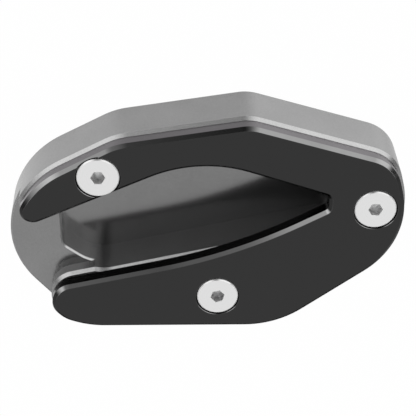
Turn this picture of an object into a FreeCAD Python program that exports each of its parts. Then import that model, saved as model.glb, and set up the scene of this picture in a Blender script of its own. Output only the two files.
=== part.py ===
import FreeCAD, Part
import math
import os
from FreeCAD import Vector

# Kickstand foot enlarger: a milled base with a pocket for the stand's foot, and a forked
# clamp plate that three countersunk screws hold down over that foot.
# All sizes are millimetres. X runs along the part, Y across it and Z up from the ground.
# The origin is the middle of the face that rests on the ground.

# Overall sizes.
length = 95.2
width = 57.4
base_height = 13.4
plate_thick = 3.8

# Heights inside the base, measured from the ground.
entry_floor_height = 9.7
pocket_floor_height = 2.5

# How far the base stands out past the plate: round the outside, along the slot and at the
# end of the front arm.
outer_ledge = 0.7
slot_ledge = 1.2
arm_end_ledge = 0.4

# Bevels along the edges.
plate_bevel = 0.83
land_bevel = 0.75
floor_bevel = 0.4
ground_bevel = 0.15

# Corner radii of the outside, clockwise from the crown at the back.
crown_round = 10.5
toe_back_round = 10.5
toe_front_round = 21.9
belly_round = 23.7
heel_front_round = 23.1
heel_round = 8.0
rear_front_round = 22.2
rear_back_round = 23.8
shoulder_round = 17.3

# Corner radii of the slot, and of the two arm tips beside it.
slot_mouth_round = 5.3
slot_bend_round = 125.0
slot_nose_front_round = 1.6
slot_nose_back_round = 1.3
slot_crest_round = 31.7
front_arm_tip_round = 4.2
back_arm_tip_round = 3.1

# Corner radii of the pocket.
pocket_front_round = 10.0
pocket_left_round = 3.0
pocket_back_round = 8.0
pocket_right_round = 5.5

# Countersunk socket screws.
screw_diameter = 5.0
screw_length = 12.0
head_diameter = 10.0
head_rim = 0.4
head_bevel = 0.3
socket_across_flats = 3.0
socket_bevel = 0.12
socket_depth = 2.0
screw_point_bevel = 0.5

# Clearances round the screws.
plate_hole_gap = 0.25
thread_gap = 0.05
screw_end_gap = 1.0

# Turn of the belly screw's socket against the other two, in degrees.
belly_socket_turn = 12.0

# Where each screw stands, as shares of length and width from the middle,
# and the turn of its socket in degrees.
screw_places = {
    "screw_mouth": (-0.2685, 0.2702, 0.0),
    "screw_toe": (0.4198, 0.0929, 0.0),
    "screw_belly": (0.0256, -0.3265, belly_socket_turn),
}

plate_top = base_height + plate_thick
head_radius = head_diameter / 2.0
shank_radius = screw_diameter / 2.0

# How far a cut reaches past the face it opens, and how far out the slot's open end lies.
overshoot = 1.0
far_outside = 2.0 * length

# Smallest length and turn, in degrees, that count as an edge and as a corner.
least_length = 1e-4
least_turn = 8.0


def placed(share_x, share_y):
    """A point given as shares of the length and the width, measured from the middle."""
    return Vector(share_x * length, share_y * width, 0.0)


def base_corners():
    """Corners of the base's outline before rounding, clockwise from the crown, with radii."""
    return [
        (placed(0.1068, 0.5048), crown_round),
        (placed(0.4718, 0.3153), toe_back_round),
        (placed(0.5308, -0.0776), toe_front_round),
        (placed(0.1807, -0.5026), belly_round),
        (placed(-0.3103, -0.4871), heel_front_round),
        (placed(-0.3765, -0.4451), heel_round),
        (placed(-0.4974, -0.2057), rear_front_round),
        (placed(-0.5051, 0.1897), rear_back_round),
        (placed(-0.2266, 0.4277), shoulder_round),
    ]


def slot_corners():
    """Corners of the slot before rounding; its last three lie beyond the left end."""
    front_start = placed(-0.4002, -0.2731)
    crest = placed(-0.0203, 0.3493)
    mouth_back = placed(-0.5056, -0.0008)
    slope = (crest.y - mouth_back.y) / (crest.x - mouth_back.x)
    back_exit = Vector(-far_outside, crest.y + slope * (-far_outside - crest.x), 0.0)
    return [
        (front_start, slot_mouth_round),
        (placed(0.0646, -0.1148), slot_bend_round),
        (placed(0.3029, 0.0953), slot_nose_front_round),
        (placed(0.3029, 0.1570), slot_nose_back_round),
        (crest, slot_crest_round),
        (back_exit, 0.0),
        (Vector(-far_outside, -far_outside, 0.0), 0.0),
        (Vector(front_start.x, -far_outside, 0.0), 0.0),
    ]


def pocket_corners():
    """Corners of the foot pocket before rounding, clockwise from its back corner."""
    return [
        (placed(-0.0385, 0.3429), pocket_back_round),
        (placed(0.0604, 0.3657), pocket_back_round),
        (placed(0.3475, 0.2190), pocket_right_round),
        (placed(0.3475, -0.0083), pocket_right_round),
        (placed(-0.2895, -0.2316), pocket_front_round),
        (placed(-0.3704, -0.1286), pocket_left_round),
        (placed(-0.3704, 0.1040), pocket_left_round),
    ]


def turn_angle(before, corner, after):
    """Signed angle by which the outline turns at a corner, positive to the left."""
    first = corner - before
    second = after - corner
    cross = first.x * second.y - first.y * second.x
    return math.atan2(cross, first.dot(second))


def shifted(corners, step, last_step=None):
    """The outline with every side moved left of its travel by step, its arcs kept concentric.

    The outside runs clockwise, so it grows. The slot runs the other way, so it narrows. The
    last side, which closes the outline, can have a step of its own.
    """
    count = len(corners)
    steps = [step] * count
    if last_step is not None:
        steps[-1] = last_step
    lines = []
    for i in range(count):
        start = corners[i][0]
        end = corners[(i + 1) % count][0]
        along = (end - start).normalize()
        outward = Vector(-along.y, along.x, 0.0)
        lines.append((start + outward * steps[i], along))
    result = []
    for i in range(count):
        start, along = lines[i - 1]
        other, across = lines[i]
        gap = other - start
        travel = (gap.x * across.y - gap.y * across.x) / (along.x * across.y - along.y * across.x)
        bend = turn_angle(corners[i - 1][0], corners[i][0], corners[(i + 1) % count][0])
        radius = corners[i][1]
        if radius > 0.0:
            radius += step if bend < 0.0 else -step
        result.append((start + along * travel, max(radius, 0.0)))
    return result


def rounded_wire(corners):
    """Closed wire through the corners, each rounded by an arc that its sides have room for."""
    count = len(corners)
    points = [corner for corner, radius in corners]
    turns = [turn_angle(points[i - 1], points[i], points[(i + 1) % count]) for i in range(count)]
    wanted = [corners[i][1] * math.tan(abs(turns[i]) / 2.0) for i in range(count)]
    fits = [1.0] * count
    for i in range(count):
        after = (i + 1) % count
        room = (points[after] - points[i]).Length
        used = wanted[i] + wanted[after]
        if used > room:
            fits[i] = min(fits[i], room / used)
            fits[after] = min(fits[after], room / used)
    stretches = []
    for i in range(count):
        before = (points[i - 1] - points[i]).normalize()
        after = (points[(i + 1) % count] - points[i]).normalize()
        reach = wanted[i] * fits[i]
        arc_start = points[i] + before * reach
        arc_end = points[i] + after * reach
        inward = (before + after).normalize()
        arc_middle = points[i] + inward * reach * math.tan(abs(turns[i]) / 4.0)
        stretches.append((arc_start, arc_middle, arc_end, reach > least_length))
    edges = []
    for i in range(count):
        arc_start, arc_middle, arc_end, is_round = stretches[i]
        if is_round:
            edges.append(Part.Arc(arc_start, arc_middle, arc_end).toShape())
        next_start = stretches[(i + 1) % count][0]
        if (next_start - arc_end).Length > least_length:
            edges.append(Part.LineSegment(arc_end, next_start).toShape())
    return Part.Wire(edges)


def prism(corners, bottom, top):
    """Upright solid with the rounded outline, from one height to another."""
    face = Part.Face(rounded_wire(corners))
    face.translate(Vector(0.0, 0.0, bottom))
    return face.extrude(Vector(0.0, 0.0, top - bottom))


def cone(centre, low, high, low_radius, high_radius):
    """Upright cone frustum about a screw's axis, between two heights."""
    return Part.makeCone(low_radius, high_radius, high - low, Vector(centre.x, centre.y, low))


def cylinder(centre, low, high, radius):
    """Upright cylinder about a screw's axis, between two heights."""
    return Part.makeCylinder(radius, high - low, Vector(centre.x, centre.y, low))


def level_edges(solid, height):
    """Edges that lie flat at a height."""
    found = []
    for edge in solid.Edges:
        box = edge.BoundBox
        if max(abs(box.ZMin - height), abs(box.ZMax - height)) < least_length:
            found.append(edge)
    return found


def sharp_uprights(solid):
    """Straight upright edges where two walls meet at an angle, from front to back."""
    found = []
    for edge in solid.Edges:
        start = edge.Vertexes[0].Point
        end = edge.Vertexes[-1].Point
        if math.hypot(end.x - start.x, end.y - start.y) > least_length:
            continue
        middle = (start + end) * 0.5
        normals = []
        for face in solid.ancestorsOfType(edge, Part.Face):
            u, v = face.Surface.parameter(middle)
            normals.append(face.normalAt(u, v))
        if normals[0].getAngle(normals[1]) > math.radians(least_turn):
            found.append(edge)
    return sorted(found, key=lambda edge: edge.Vertexes[0].Point.y)


def forked(inset, step, end_step, bottom, top):
    """Slab with the outside moved in by inset, the slot narrowed by step and round arm tips.

    The front arm grows longer by end_step.
    """
    slab = prism(shifted(base_corners(), -inset), bottom, top)
    slot = prism(shifted(slot_corners(), step, end_step), bottom - overshoot, top + overshoot)
    slab = slab.cut(slot).removeSplitter()
    slab = slab.makeFillet(front_arm_tip_round + end_step, sharp_uprights(slab)[:1])
    return slab.makeFillet(back_arm_tip_round + step, sharp_uprights(slab)[-1:])


def screw_centres():
    """Where the screws stand."""
    return [placed(share_x, share_y) for share_x, share_y, turn in screw_places.values()]


def countersink(centre):
    """Right-angled cone that leaves a rim round the head, down to the plate's hole."""
    hole_radius = shank_radius + plate_hole_gap
    mouth_radius = head_radius + head_rim
    seat_bottom = plate_top - (mouth_radius - hole_radius)
    return cone(centre, seat_bottom, plate_top, hole_radius, mouth_radius)


def clamp_plate():
    """Flat forked plate with bevelled upper edges and three countersunk holes."""
    plate = forked(outer_ledge, 0.0, 0.0, base_height, plate_top)
    plate = plate.makeChamfer(plate_bevel, level_edges(plate, plate_top))
    for centre in screw_centres():
        hole = cylinder(centre, base_height - overshoot, plate_top, shank_radius + plate_hole_gap)
        plate = plate.cut(hole).cut(countersink(centre))
    return plate


def base_block():
    """Milled base: an entry floor inside a raised land, and a deeper pocket for the foot."""
    pocket = prism(pocket_corners(), pocket_floor_height, plate_top)
    floor = prism(base_corners(), 0.0, entry_floor_height).cut(pocket)
    floor = floor.makeChamfer(floor_bevel, level_edges(floor, entry_floor_height))
    land = forked(0.0, slot_ledge, arm_end_ledge, 0.0, base_height).cut(pocket)
    land = land.makeChamfer(land_bevel, level_edges(land, base_height))
    block = floor.fuse(land).removeSplitter()
    block = block.makeChamfer(ground_bevel, level_edges(block, 0.0))
    bore_bottom = plate_top - screw_length - screw_end_gap
    for centre in screw_centres():
        bore = cylinder(centre, bore_bottom, plate_top, shank_radius + thread_gap)
        block = block.cut(bore).cut(countersink(centre))
    return block


def socket(centre, turn):
    """Hexagonal hole in a screw's head."""
    corner_radius = socket_across_flats / math.sqrt(3.0)
    corners = []
    for side in range(7):
        angle = math.radians(60.0 * side + turn)
        across = Vector(math.cos(angle), math.sin(angle), 0.0) * corner_radius
        corners.append(centre + across + Vector(0.0, 0.0, plate_top - socket_depth))
    hexagon = Part.Face(Part.makePolygon(corners))
    return hexagon.extrude(Vector(0.0, 0.0, socket_depth + overshoot))


def screw(share_x, share_y, turn):
    """Countersunk screw with a hexagonal socket, its head flush with the plate."""
    centre = placed(share_x, share_y)
    rim_bottom = plate_top - head_rim
    neck = rim_bottom - (head_radius - shank_radius)
    end = plate_top - screw_length
    point_top = end + screw_point_bevel
    solid = cylinder(centre, rim_bottom, plate_top, head_radius)
    solid = solid.fuse(cone(centre, neck, rim_bottom, shank_radius, head_radius))
    solid = solid.fuse(cylinder(centre, point_top, neck, shank_radius))
    solid = solid.fuse(cone(centre, end, point_top, shank_radius - screw_point_bevel, shank_radius))
    solid = solid.makeChamfer(head_bevel, level_edges(solid, plate_top))
    solid = solid.cut(socket(centre, turn)).removeSplitter()
    mouth = [edge for edge in level_edges(solid, plate_top) if not edge.isClosed()]
    return solid.makeChamfer(socket_bevel, mouth)


os.makedirs("parts", exist_ok=True)
base_block().exportStep("parts/base_block.step")
clamp_plate().exportStep("parts/clamp_plate.step")
for name, place in screw_places.items():
    screw(*place).exportStep("parts/" + name + ".step")
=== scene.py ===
import math

import bmesh
import bpy
import numpy as np
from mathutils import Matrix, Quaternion, Vector


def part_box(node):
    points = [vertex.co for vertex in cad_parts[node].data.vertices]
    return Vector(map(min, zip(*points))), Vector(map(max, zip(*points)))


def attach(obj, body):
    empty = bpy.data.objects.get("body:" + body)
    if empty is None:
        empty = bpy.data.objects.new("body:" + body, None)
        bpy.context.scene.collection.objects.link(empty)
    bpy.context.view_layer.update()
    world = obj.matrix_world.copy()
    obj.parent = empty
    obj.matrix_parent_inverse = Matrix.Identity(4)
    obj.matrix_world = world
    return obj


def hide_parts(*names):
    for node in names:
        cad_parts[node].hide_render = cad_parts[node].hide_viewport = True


# A foot enlarger for a motorbike's side stand: a grey milled base, a black forked plate and
# three bright countersunk screws. Lengths are metres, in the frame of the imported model.

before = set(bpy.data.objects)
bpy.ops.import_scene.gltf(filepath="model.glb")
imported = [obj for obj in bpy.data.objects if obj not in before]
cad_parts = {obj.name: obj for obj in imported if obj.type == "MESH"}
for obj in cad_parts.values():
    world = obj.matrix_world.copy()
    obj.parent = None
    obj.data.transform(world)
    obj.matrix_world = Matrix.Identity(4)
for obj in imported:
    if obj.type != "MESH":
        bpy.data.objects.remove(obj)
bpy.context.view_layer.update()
mm = 0.001


def turns(*degrees):
    """Angles in degrees, made radians."""
    return [math.radians(angle) for angle in degrees]


# Camera: the photograph looks down on the part from beyond its crown, with the crown upwards.
photo_pixels = 416
focal_pixels = 1455.1
sensor_width = 36.0
camera_place = Vector((-10.70, 186.87, 309.64)) * mm
aim_point = Vector((0.085, 6.8, 17.2)) * mm
camera_roll = math.radians(-175.98)
clip_near = 10.0 * mm
clip_far = 20.0

# Studio: strength of the soft light, how much of the floor is plain white to the eye, the
# grey of its paint and half its width.
studio_level = 0.8
floor_white_share = 0.985
floor_paint = 0.9
floor_half = 3.0

# Black cloths round the part, which only its reflections see. Bearings run from +Y towards +X,
# and heights are shares of cloth_radius. A gap has four bearings: it opens over the first two
# and closes over the last two. Any other edge runs from its first number to its second. The
# low edges also give how much white shows before and after them.
cloth_radius = 1.0
cloth_columns = 64
cloth_rows = 33
cloth_black = 0.03
cloth_beside_grey = 0.25
beside_turn = turns(84.0, 100.0, 140.0, 160.0)
left_gap = turns(-92.0, -56.0, -36.0, -4.0)
left_gap_height = (1.05, 0.6)
right_gap = turns(-4.0, 24.0, 66.0, 78.0)
overhead_edge = (0.45, -0.1)
overhead_height = (0.5, 0.7)
under_height = (-0.2, -0.6)
behind_turn = turns(125.0, 150.0)
behind_height = (-0.8, -0.65)
low_left_turn = turns(-20.0, -50.0) + [0.6, 0.77]
low_right_turn = turns(0.0, 40.0) + [0.6, 0.94]
low_right_end = turns(75.0, 110.0) + [1.0, 0.6]

# Kinds of surface by the height of their normal, from 0 on a wall to 1 on a level face.
level_tilt = (0.96, 0.985)
face_tilt = (0.9, 0.98)
# Bevels in this band get a painted highlight on the grey base.
bevel_glint_tilt = (0.2, 0.5) + face_tilt
rim_tilt = (0.3, 0.6) + face_tilt
upright_tilt = (0.5, 0.2)
pocket_wall_tilt = (0.2, 0.1)

# Grey base: greys of its walls, of its bevels with a painted highlight, of its floors and of its
# pocket, both painted darker as shade, and how metallic each one is.
base_wall_grey = 0.38
base_bevel_glint_grey = 0.66
base_floor_shade_grey = 0.225
pocket_front_shade_grey = 0.37
pocket_left_shade_grey = 0.48
pocket_floor_shade_grey = 0.19
base_shine = 0.45
base_bevel_glint_shine = 0.75
base_floor_shine = 0.8
pocket_shine = 0.87

# The pocket's painted shade lies inside an oval in plan and between heights. Its left walls are
# those whose normals point right, and they are painted lighter than the front walls as painted
# light.
pocket_middle = (-1.0 * mm, 3.5 * mm, 0.0)
pocket_turn = math.radians(5.6)
pocket_reach = (40.0 * mm, 20.0 * mm, 1.0)
pocket_heights = (1.0 * mm, 2.0 * mm, 9.0 * mm, 9.5 * mm)
pocket_left_facing = (0.0, 0.5)

# Black plate: greys of its face, of its bevels where a highlight is painted and elsewhere, of the
# slot's walls and of the countersinks, both painted black as shade, the colour of its outer walls
# and the gloss of its face.
plate_face_grey = 0.004
plate_bevel_glint_grey = 0.5
plate_dull_grey = 0.12
plate_slot_wall_shade_grey = 0.01
plate_sunk_shade_grey = 0.012
plate_wall_violet = (0.2, 0.19, 0.2, 1.0)
plate_face_gloss = 0.39

# Bearings over which the plate's bevels get a painted highlight, oval that holds the slot's walls
# painted black as shade, and the reach and depth at which a countersink's painted shade starts.
plate_left_turn = turns(-60.0, -50.0, -36.0, -20.0)
plate_right_turn = turns(0.0, 30.0, 56.0, 66.0)
slot_middle = (-11.0 * mm, -1.5 * mm, 0.0)
slot_turn = math.radians(17.0)
slot_reach = (46.0 * mm, 12.0 * mm, 1.0)
sunk_reach = (5.75 * mm, 5.65 * mm)
sunk_depth = (0.06 * mm, 0.09 * mm)

# Bright screws: greys of the turned face, of the head's rim with a painted highlight and of each
# socket, painted darker as shade. The rim's painted highlight is also most metallic where it faces
# the crown, over steel_rim_turn from the edges inwards.
steel_grey = 0.8
steel_rim_highlight_grey = 0.98
socket_shade_greys = {"screw_mouth": 0.57, "screw_toe": 0.6, "screw_belly": 0.55}
steel_shine = 0.5
steel_rim_highlight_shine = 0.7
steel_rim_turn = turns(52.0, 34.0)
socket_reach = (2.0 * mm, 1.9 * mm)
socket_depth = (0.1 * mm, 0.3 * mm)

# Roughness of each surface, and how much of it the grain adds.
base_rough = 0.2
base_floor_rough = 0.13
base_rough_stray = 0.05
plate_rough = 0.13
plate_rough_stray = 0.08
steel_rough = 0.14
socket_rough = 0.34

# Grain of the metals. A noise's scale is one over the width of its features in metres, and a
# stray is how far a grey may leave its value, as a share, between two levels of the noise.
cloud_detail = 4.0
grain_detail = 3.0
cloud_levels = (0.25, 0.75)
grain_levels = (0.3, 0.7)
base_cloud_scale = 90.0
base_speck_scale = 2600.0
base_grain_scale = 4500.0
base_stray = 0.04
plate_cloud_scale = 110.0
plate_grain_scale = 3500.0
plate_stray = 0.06
ring_scale = 6000.0
ring_stray = 0.03
streak_scale = 1500.0
streak_stray = 0.25
grain_depth = 0.0006 * mm
ring_depth = 0.0001 * mm

# Cutter marks run level round the walls, so they change fast with height and slowly along.
# They are cutter_depth times as deep as the grain.
cutter_shares = (0.04, 0.04, 1.0)
cutter_scale = 2500.0
cutter_depth = 3.0

# Sharp edges are those that turn by more than sharp_turn. They become arcs of these radii,
# once points within weld_reach are one and faces that turn by less than flat_turn are joined.
base_edge_round = 0.10 * mm
plate_edge_round = 0.08 * mm
screw_edge_round = 0.03 * mm
sharp_turn = math.radians(15.0)
arc_steps = 3
flat_turn = math.radians(0.5)
weld_reach = 1e-7

# An oval fades out between these shares of its reach. Depths run down from the plate's face.
oval_edge = (1.05, 0.95)
plate_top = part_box("clamp_plate")[1].z


def middle_of(node):
    """Middle of a node's box."""
    low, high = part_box(node)
    return (low + high) / 2.0


def make_camera():
    """Camera at camera_place that looks at aim_point, rolled about its own line of sight."""
    data = bpy.data.cameras.new("camera")
    data.sensor_width = sensor_width
    data.lens = sensor_width * focal_pixels / photo_pixels
    data.clip_start = clip_near
    data.clip_end = clip_far
    camera = bpy.data.objects.new("camera", data)
    sight = (aim_point - camera_place).normalized()
    upright = sight.to_track_quat("-Z", "Y")
    camera.rotation_mode = "QUATERNION"
    camera.rotation_quaternion = Quaternion(sight, camera_roll) @ upright
    camera.location = camera_place
    bpy.context.collection.objects.link(camera)
    bpy.context.scene.camera = camera


class Nodes:
    """Short calls for the nodes of one material or world."""

    def __init__(self, tree):
        self.tree = tree
        tree.nodes.clear()

    def add(self, kind, **settings):
        """New node of a kind, with its plain settings."""
        node = self.tree.nodes.new("ShaderNode" + kind)
        for name, value in settings.items():
            setattr(node, name, value)
        return node

    def feed(self, socket, value):
        """Gives an input a plain value or another node's output."""
        if isinstance(value, bpy.types.NodeSocket):
            self.tree.links.new(value, socket)
        else:
            socket.default_value = value

    def maths(self, operation, first, second=0.0, third=0.0):
        """One arithmetic step on plain values or outputs."""
        node = self.add("Math", operation=operation)
        self.feed(node.inputs[0], first)
        self.feed(node.inputs[1], second)
        self.feed(node.inputs[2], third)
        return node.outputs[0]

    def ramp(self, value, start, end, low=0.0, high=1.0):
        """Smooth step of a value from low at start to high at end."""
        node = self.add("MapRange", interpolation_type="SMOOTHSTEP")
        self.feed(node.inputs["Value"], value)
        self.feed(node.inputs["From Min"], start)
        self.feed(node.inputs["From Max"], end)
        self.feed(node.inputs["To Min"], low)
        self.feed(node.inputs["To Max"], high)
        return node.outputs["Result"]

    def band(self, value, rise_start, rise_end, fall_start, fall_end):
        """One between two smooth steps of a value, and nothing outside them."""
        rise = self.ramp(value, rise_start, rise_end)
        fall = self.ramp(value, fall_start, fall_end, 1.0, 0.0)
        return self.maths("MULTIPLY", rise, fall)

    def between(self, share, first, second):
        """Number between first and second by a share from 0 to 1."""
        gap = self.maths("SUBTRACT", second, first)
        return self.maths("MULTIPLY_ADD", share, gap, first)

    def blend(self, share, first, second):
        """Colour between first and second by a share from 0 to 1."""
        node = self.add("Mix", data_type="RGBA")
        self.feed(node.inputs[0], share)
        self.feed(node.inputs[6], first)
        self.feed(node.inputs[7], second)
        return node.outputs[2]

    def shaded(self, colour, share):
        """A colour made lighter or darker by a share."""
        node = self.add("Mix", data_type="RGBA", blend_type="MULTIPLY")
        self.feed(node.inputs[0], 1.0)
        self.feed(node.inputs[6], colour)
        self.feed(node.inputs[7], share)
        return node.outputs[2]

    def split(self, vector):
        """The x, y and z of a vector."""
        node = self.add("SeparateXYZ")
        self.feed(node.inputs[0], vector)
        return node.outputs

    def normal(self):
        """The x, y and z of the surface's normal."""
        return self.split(self.add("NewGeometry").outputs["Normal"])

    def noise(self, place, scale, detail=2.0):
        """Noise from 0 to 1 with features about one over scale metres wide."""
        node = self.add("TexNoise")
        self.feed(node.inputs["Vector"], place)
        self.feed(node.inputs["Scale"], scale)
        self.feed(node.inputs["Detail"], detail)
        return node.outputs["Fac"]

    def stray(self, noise, levels, spread):
        """Share that strays from one by up to the spread, as a noise crosses two levels."""
        return self.ramp(noise, *levels, 1.0 - spread, 1.0 + spread)

    def stretched(self, place, shares):
        """Place with each of its directions taken by a share, so a pattern runs in lines."""
        node = self.add("VectorMath", operation="MULTIPLY")
        self.feed(node.inputs[0], place)
        self.feed(node.inputs[1], shares)
        return node.outputs[0]

    def bump(self, height, depth):
        """Normal pushed about by a height from 0 to 1 over a depth in metres."""
        node = self.add("Bump")
        self.feed(node.inputs["Height"], height)
        self.feed(node.inputs["Distance"], depth)
        return node.outputs["Normal"]

    def depth(self, place):
        """Depth below the plate's face."""
        return self.maths("SUBTRACT", plate_top, self.split(place)[2])

    def away_from(self, place, centre):
        """Distance in plan from a screw's axis."""
        reach = self.add("VectorMath", operation="DISTANCE")
        self.feed(reach.inputs[0], self.stretched(place, (1.0, 1.0, 0.0)))
        self.feed(reach.inputs[1], (centre.x, centre.y, 0.0))
        return reach.outputs["Value"]

    def in_oval(self, place, middle, turn, reach):
        """One inside an upright oval that is turned in plan, and nothing outside it."""
        laid = self.add("Mapping", vector_type="TEXTURE")
        self.feed(laid.inputs["Vector"], place)
        self.feed(laid.inputs["Location"], middle)
        self.feed(laid.inputs["Rotation"], (0.0, 0.0, turn))
        self.feed(laid.inputs["Scale"], reach)
        out = self.add("VectorMath", operation="LENGTH")
        self.feed(out.inputs[0], laid.outputs[0])
        return self.ramp(out.outputs["Value"], *oval_edge)

    def looked_at(self):
        """One for rays of the camera, of reflections and through glass."""
        rays = self.add("LightPath").outputs
        seen = self.maths("ADD", rays["Is Camera Ray"], rays["Is Glossy Ray"])
        return self.maths("MINIMUM", self.maths("ADD", seen, rays["Is Transmission Ray"]), 1.0)

    def mixed(self, share, first, second, output_kind):
        """Ends the tree with a mix of two shaders, or two backgrounds, by a share."""
        both = self.add("MixShader")
        self.feed(both.inputs[0], share)
        self.feed(both.inputs[1], first.outputs[0])
        self.feed(both.inputs[2], second.outputs[0])
        output = self.add(output_kind)
        self.feed(output.inputs["Surface"], both.outputs[0])


def grey(level):
    """Neutral colour of one level."""
    return (level, level, level, 1.0)


def make_world():
    """Plain white background, and the same white at studio_level as soft light on the part."""
    world = bpy.data.worlds.new("studio")
    bpy.context.scene.world = world
    world.use_nodes = True
    n = Nodes(world.node_tree)
    soft = n.add("Background")
    n.feed(soft.inputs["Strength"], studio_level)
    white = n.add("Background")
    for background in (soft, white):
        n.feed(background.inputs["Color"], grey(1.0))
    n.mixed(n.looked_at(), soft, white, "OutputWorld")


def staged(name, points, faces, material_name):
    """Object of the studio with a new material, and the material's empty node tree."""
    mesh = bpy.data.meshes.new(name)
    mesh.from_pydata(points, [], faces)
    piece = bpy.data.objects.new(name, mesh)
    bpy.context.collection.objects.link(piece)
    material = bpy.data.materials.new(material_name)
    material.use_nodes = True
    mesh.materials.append(material)
    return piece, Nodes(material.node_tree)


def sphere_grid(radius, around, upright):
    """Points and faces of a sphere, seen from inside.

    x = radius cos(tilt) sin(bearing), y = radius cos(tilt) cos(bearing),
    z = radius sin(tilt), with bearing round the full turn and tilt from below to above.
    """
    bearing, tilt = np.meshgrid(
        np.linspace(0.0, 2.0 * np.pi, around, endpoint=False),
        np.linspace(-0.5 * np.pi, 0.5 * np.pi, upright),
    )
    points = radius * np.stack(
        [np.cos(tilt) * np.sin(bearing), np.cos(tilt) * np.cos(bearing), np.sin(tilt)], axis=-1
    )
    place = np.arange(around * upright).reshape(upright, around)
    after = np.roll(place, -1, axis=1)
    faces = np.stack([place[:-1], after[:-1], after[1:], place[1:]], axis=-1)
    return points.reshape(-1, 3).tolist(), faces.reshape(-1, 4).tolist()


def gap_share(n, bearing, either_side, ahead, height):
    """How much white shows between the cloths in a direction, as a share.

    Above under_height there is a gap on the left, one on the right and open sky overhead and
    behind. Below it both sides are partly white, but the part's back is dark down to
    behind_height.
    """
    left = n.maths("MULTIPLY", n.band(bearing, *left_gap), n.ramp(height, *left_gap_height))
    right = n.band(bearing, *right_gap)
    overhead = n.maths("MULTIPLY", n.ramp(height, *overhead_height), n.ramp(ahead, *overhead_edge))
    high = n.maths("MAXIMUM", n.maths("MAXIMUM", left, right), overhead)
    low_left = n.ramp(bearing, *low_left_turn)
    low_right = n.ramp(bearing, *low_right_turn)
    low_right = n.maths("MULTIPLY", low_right, n.ramp(bearing, *low_right_end))
    hidden = n.maths("MULTIPLY", n.ramp(either_side, *behind_turn), n.ramp(height, *behind_height))
    shown = n.maths("SUBTRACT", 1.0, hidden)
    low = n.maths("MULTIPLY", n.maths("MAXIMUM", low_left, low_right), shown)
    return n.between(n.ramp(height, *under_height), high, low)


def make_cloths():
    """Black cloths hung round the part, which only the metal's reflections see.

    The white background shows between them, so bevels go from bright to dark as they turn.
    """
    points, faces = sphere_grid(cloth_radius, cloth_columns, cloth_rows)
    cloths, n = staged("cloths", points, faces, "black_cloth")
    x, y, z = n.split(n.add("TexCoord").outputs["Object"])
    ahead = n.maths("DIVIDE", y, cloth_radius)
    height = n.maths("DIVIDE", z, cloth_radius)
    bearing = n.maths("ARCTAN2", x, y)
    either_side = n.maths("ABSOLUTE", bearing)
    gap = gap_share(n, bearing, either_side, ahead, height)
    dark = n.add("Emission")
    paler = n.band(either_side, *beside_turn)
    n.feed(dark.inputs["Strength"], n.between(paler, cloth_black, cloth_beside_grey))
    n.mixed(gap, dark, n.add("BsdfTransparent"), "OutputMaterial")
    for ray in ("camera", "diffuse", "shadow", "transmission", "volume_scatter"):
        setattr(cloths, "visible_" + ray, False)


def make_floor():
    """Large pale floor under the part, white to the eye apart from the part's soft shadow."""
    signs = ((-1, -1), (1, -1), (1, 1), (-1, 1))
    corners = [(x * floor_half, y * floor_half, 0.0) for x, y in signs]
    floor, n = staged("floor", corners, [(0, 1, 2, 3)], "pale_floor")
    painted = n.add("BsdfDiffuse")
    n.feed(painted.inputs["Color"], grey(floor_paint))
    lit = n.add("Emission")
    n.feed(lit.inputs["Color"], grey(1.0))
    share = n.maths("MULTIPLY", n.looked_at(), floor_white_share)
    n.mixed(share, painted, lit, "OutputMaterial")
    floor.visible_glossy = False


def metal(name):
    """New material with its node helper, its shader and its place in the part's frame."""
    material = bpy.data.materials.new(name)
    material.use_nodes = True
    n = Nodes(material.node_tree)
    shader = n.add("BsdfPrincipled")
    output = n.add("OutputMaterial")
    n.feed(output.inputs["Surface"], shader.outputs[0])
    return material, n, shader, n.add("TexCoord").outputs["Object"]


def grey_anodised():
    """Satin grey metal: floors and pocket painted darker as shade, softer walls and bevels with a
    painted highlight.
    """
    material, n, shader, place = metal("grey_anodised")
    across, _, tilt = n.normal()
    steep = n.maths("ABSOLUTE", tilt)
    level = n.ramp(tilt, *level_tilt)
    # Bevels get a painted highlight: a lighter grey and more metal.
    bevel_glint = n.band(steep, *bevel_glint_tilt)
    # The pocket is painted darker as shade, with its left walls painted lighter than its front
    # walls.
    low = n.band(n.split(place)[2], *pocket_heights)
    deep = n.maths("MAXIMUM", low, n.ramp(steep, *pocket_wall_tilt))
    oval = n.in_oval(place, pocket_middle, pocket_turn, pocket_reach)
    pocket_shade = n.maths("MULTIPLY", deep, oval)
    wall = n.blend(bevel_glint, grey(base_wall_grey), grey(base_bevel_glint_grey))
    # Level floors are painted darker as shade.
    outside = n.blend(level, wall, grey(base_floor_shade_grey))
    left = n.ramp(across, *pocket_left_facing)
    pocket_wall = n.blend(left, grey(pocket_front_shade_grey), grey(pocket_left_shade_grey))
    inside = n.blend(level, pocket_wall, grey(pocket_floor_shade_grey))
    skin = n.blend(pocket_shade, outside, inside)
    cloud = n.stray(n.noise(place, base_cloud_scale, cloud_detail), cloud_levels, base_stray)
    speck = n.stray(n.noise(place, base_speck_scale), grain_levels, base_stray)
    n.feed(shader.inputs["Base Color"], n.shaded(skin, n.maths("MULTIPLY", cloud, speck)))
    # Metal share: more on the bevels for their painted highlight, and set apart on the floors and
    # in the pocket's painted shade.
    shine = n.between(bevel_glint, base_shine, base_bevel_glint_shine)
    shine = n.maths("MULTIPLY_ADD", level, base_floor_shine - base_shine, shine)
    n.feed(shader.inputs["Metallic"], n.between(pocket_shade, shine, pocket_shine))
    grain = n.noise(place, base_grain_scale)
    rough = n.between(level, base_rough, base_floor_rough)
    n.feed(shader.inputs["Roughness"], n.maths("MULTIPLY_ADD", grain, base_rough_stray, rough))
    lines = n.noise(n.stretched(place, cutter_shares), cutter_scale)
    marks = n.maths("MULTIPLY", lines, n.ramp(steep, *upright_tilt))
    relief = n.maths("MULTIPLY_ADD", marks, cutter_depth, grain)
    n.feed(shader.inputs["Normal"], n.bump(relief, grain_depth))
    return material


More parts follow.
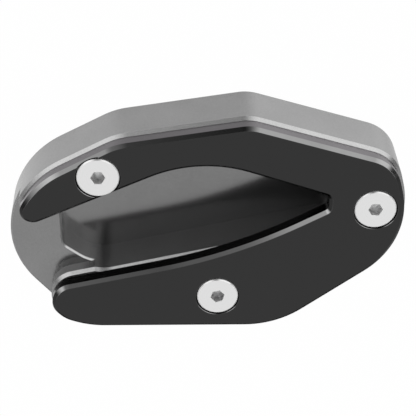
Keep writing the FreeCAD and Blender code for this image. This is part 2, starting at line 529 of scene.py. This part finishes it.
def black_anodised():
    """Black satin plate: bevels with a painted highlight either side of the crown, and slot walls
    and countersinks painted black as shade.
    """
    material, n, shader, place = metal("black_anodised")
    across, ahead, tilt = n.normal()
    face = n.ramp(tilt, *face_tilt)
    wall = n.ramp(tilt, *upright_tilt)
    # The slot's walls are painted black as shade.
    slot_shade = n.in_oval(place, slot_middle, slot_turn, slot_reach)
    # Bevels get a painted highlight over the bearings either side of the crown.
    facing = n.maths("ARCTAN2", across, ahead)
    glint_bearing = n.maths("ADD", n.band(facing, *plate_left_turn), n.band(facing, *plate_right_turn))
    bevel = n.blend(glint_bearing, grey(plate_dull_grey), grey(plate_bevel_glint_grey))
    upright = n.blend(slot_shade, plate_wall_violet, grey(plate_slot_wall_shade_grey))
    edge = n.blend(wall, bevel, upright)
    # The countersinks are painted black as shade.
    near = [n.away_from(place, middle_of(screw)) for screw in socket_shade_greys]
    nearest = n.maths("MINIMUM", n.maths("MINIMUM", near[0], near[1]), near[2])
    depth = n.depth(place)
    cone = n.ramp(n.maths("ADD", nearest, depth), *sunk_reach)
    sunk_shade = n.maths("MULTIPLY", cone, n.ramp(depth, *sunk_depth))
    side = n.blend(sunk_shade, edge, grey(plate_sunk_shade_grey))
    skin = n.blend(face, side, grey(plate_face_grey))
    cloud = n.stray(n.noise(place, plate_cloud_scale, cloud_detail), cloud_levels, plate_stray)
    n.feed(shader.inputs["Base Color"], n.shaded(skin, cloud))
    n.feed(shader.inputs["Metallic"], n.maths("SUBTRACT", 1.0, face))
    n.feed(shader.inputs["Specular IOR Level"], plate_face_gloss)
    grain = n.noise(place, plate_grain_scale, grain_detail)
    rough = n.maths("MULTIPLY_ADD", grain, plate_rough_stray, plate_rough)
    n.feed(shader.inputs["Roughness"], rough)
    n.feed(shader.inputs["Normal"], n.bump(grain, grain_depth))
    return material


def bright_steel(name, centre, socket_shade_grey):
    """Turned steel with fine rings about the screw's axis, a painted highlight on the head's rim
    and a socket painted darker as shade.
    """
    material, n, shader, place = metal(name)
    across, ahead, tilt = n.normal()
    away = n.away_from(place, centre)
    # The socket is painted darker as shade.
    inside = n.ramp(away, *socket_reach)
    socket = n.maths("MULTIPLY", inside, n.ramp(n.depth(place), *socket_depth))
    streak = n.stray(n.noise(place, streak_scale, grain_detail), grain_levels, streak_stray)
    shaded_socket = n.shaded(grey(socket_shade_grey), streak)
    # The head's rim gets a painted highlight: a lighter grey, and more metal where it faces the
    # crown.
    rim_highlight = n.band(tilt, *rim_tilt)
    ring = n.noise(n.maths("MULTIPLY", away, ring_scale), 1.0)
    head = n.blend(rim_highlight, grey(steel_grey), grey(steel_rim_highlight_grey))
    turned = n.shaded(head, n.stray(ring, grain_levels, ring_stray))
    n.feed(shader.inputs["Base Color"], n.blend(socket, turned, shaded_socket))
    facing = n.maths("ABSOLUTE", n.maths("ARCTAN2", across, ahead))
    rim_highlight_shine = n.ramp(facing, *steel_rim_turn, 0.0, steel_rim_highlight_shine)
    n.feed(shader.inputs["Metallic"], n.between(rim_highlight, steel_shine, rim_highlight_shine))
    n.feed(shader.inputs["Roughness"], n.between(socket, steel_rough, socket_rough))
    n.feed(shader.inputs["Normal"], n.bump(ring, ring_depth))
    return material


def rounded(node, name, edge_round, material):
    """A node's own surface, welded, with its sharp edges rounded by a small radius.

    Every edge where two faces turn by more than sharp_turn becomes a narrow arc. The wide
    faces keep their own normals, so they stay flat to the light.
    """
    shape = bmesh.new()
    shape.from_mesh(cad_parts[node].data)
    bmesh.ops.remove_doubles(shape, verts=shape.verts, dist=weld_reach)
    bmesh.ops.dissolve_limit(shape, angle_limit=flat_turn, verts=shape.verts, edges=shape.edges)
    for face in shape.faces:
        face.smooth = True
    mesh = bpy.data.meshes.new(name)
    shape.to_mesh(mesh)
    shape.free()
    mesh.materials.clear()
    mesh.materials.append(material)
    piece = bpy.data.objects.new(name, mesh)
    bpy.context.collection.objects.link(piece)
    arc = piece.modifiers.new("edge_round", "BEVEL")
    arc.width = edge_round
    arc.segments = arc_steps
    arc.limit_method = "ANGLE"
    arc.angle_limit = sharp_turn
    arc.miter_outer = "MITER_ARC"
    arc.use_clamp_overlap = True
    flat = piece.modifiers.new("flat_faces", "WEIGHTED_NORMAL")
    flat.mode = "FACE_AREA"
    flat.weight = 100
    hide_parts(node)
    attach(piece, "root")


make_camera()
make_world()
make_cloths()
make_floor()
rounded("base_block", "milled_base", base_edge_round, grey_anodised())
rounded("clamp_plate", "forked_plate", plate_edge_round, black_anodised())
# Each screw's socket has its own grey of painted shade.
for node, socket_shade_grey in socket_shade_greys.items():
    steel = bright_steel(node + "_steel", middle_of(node), socket_shade_grey)
    rounded(node, node + "_turned", screw_edge_round, steel)

bpy.context.scene.view_settings.view_transform = "Standard"
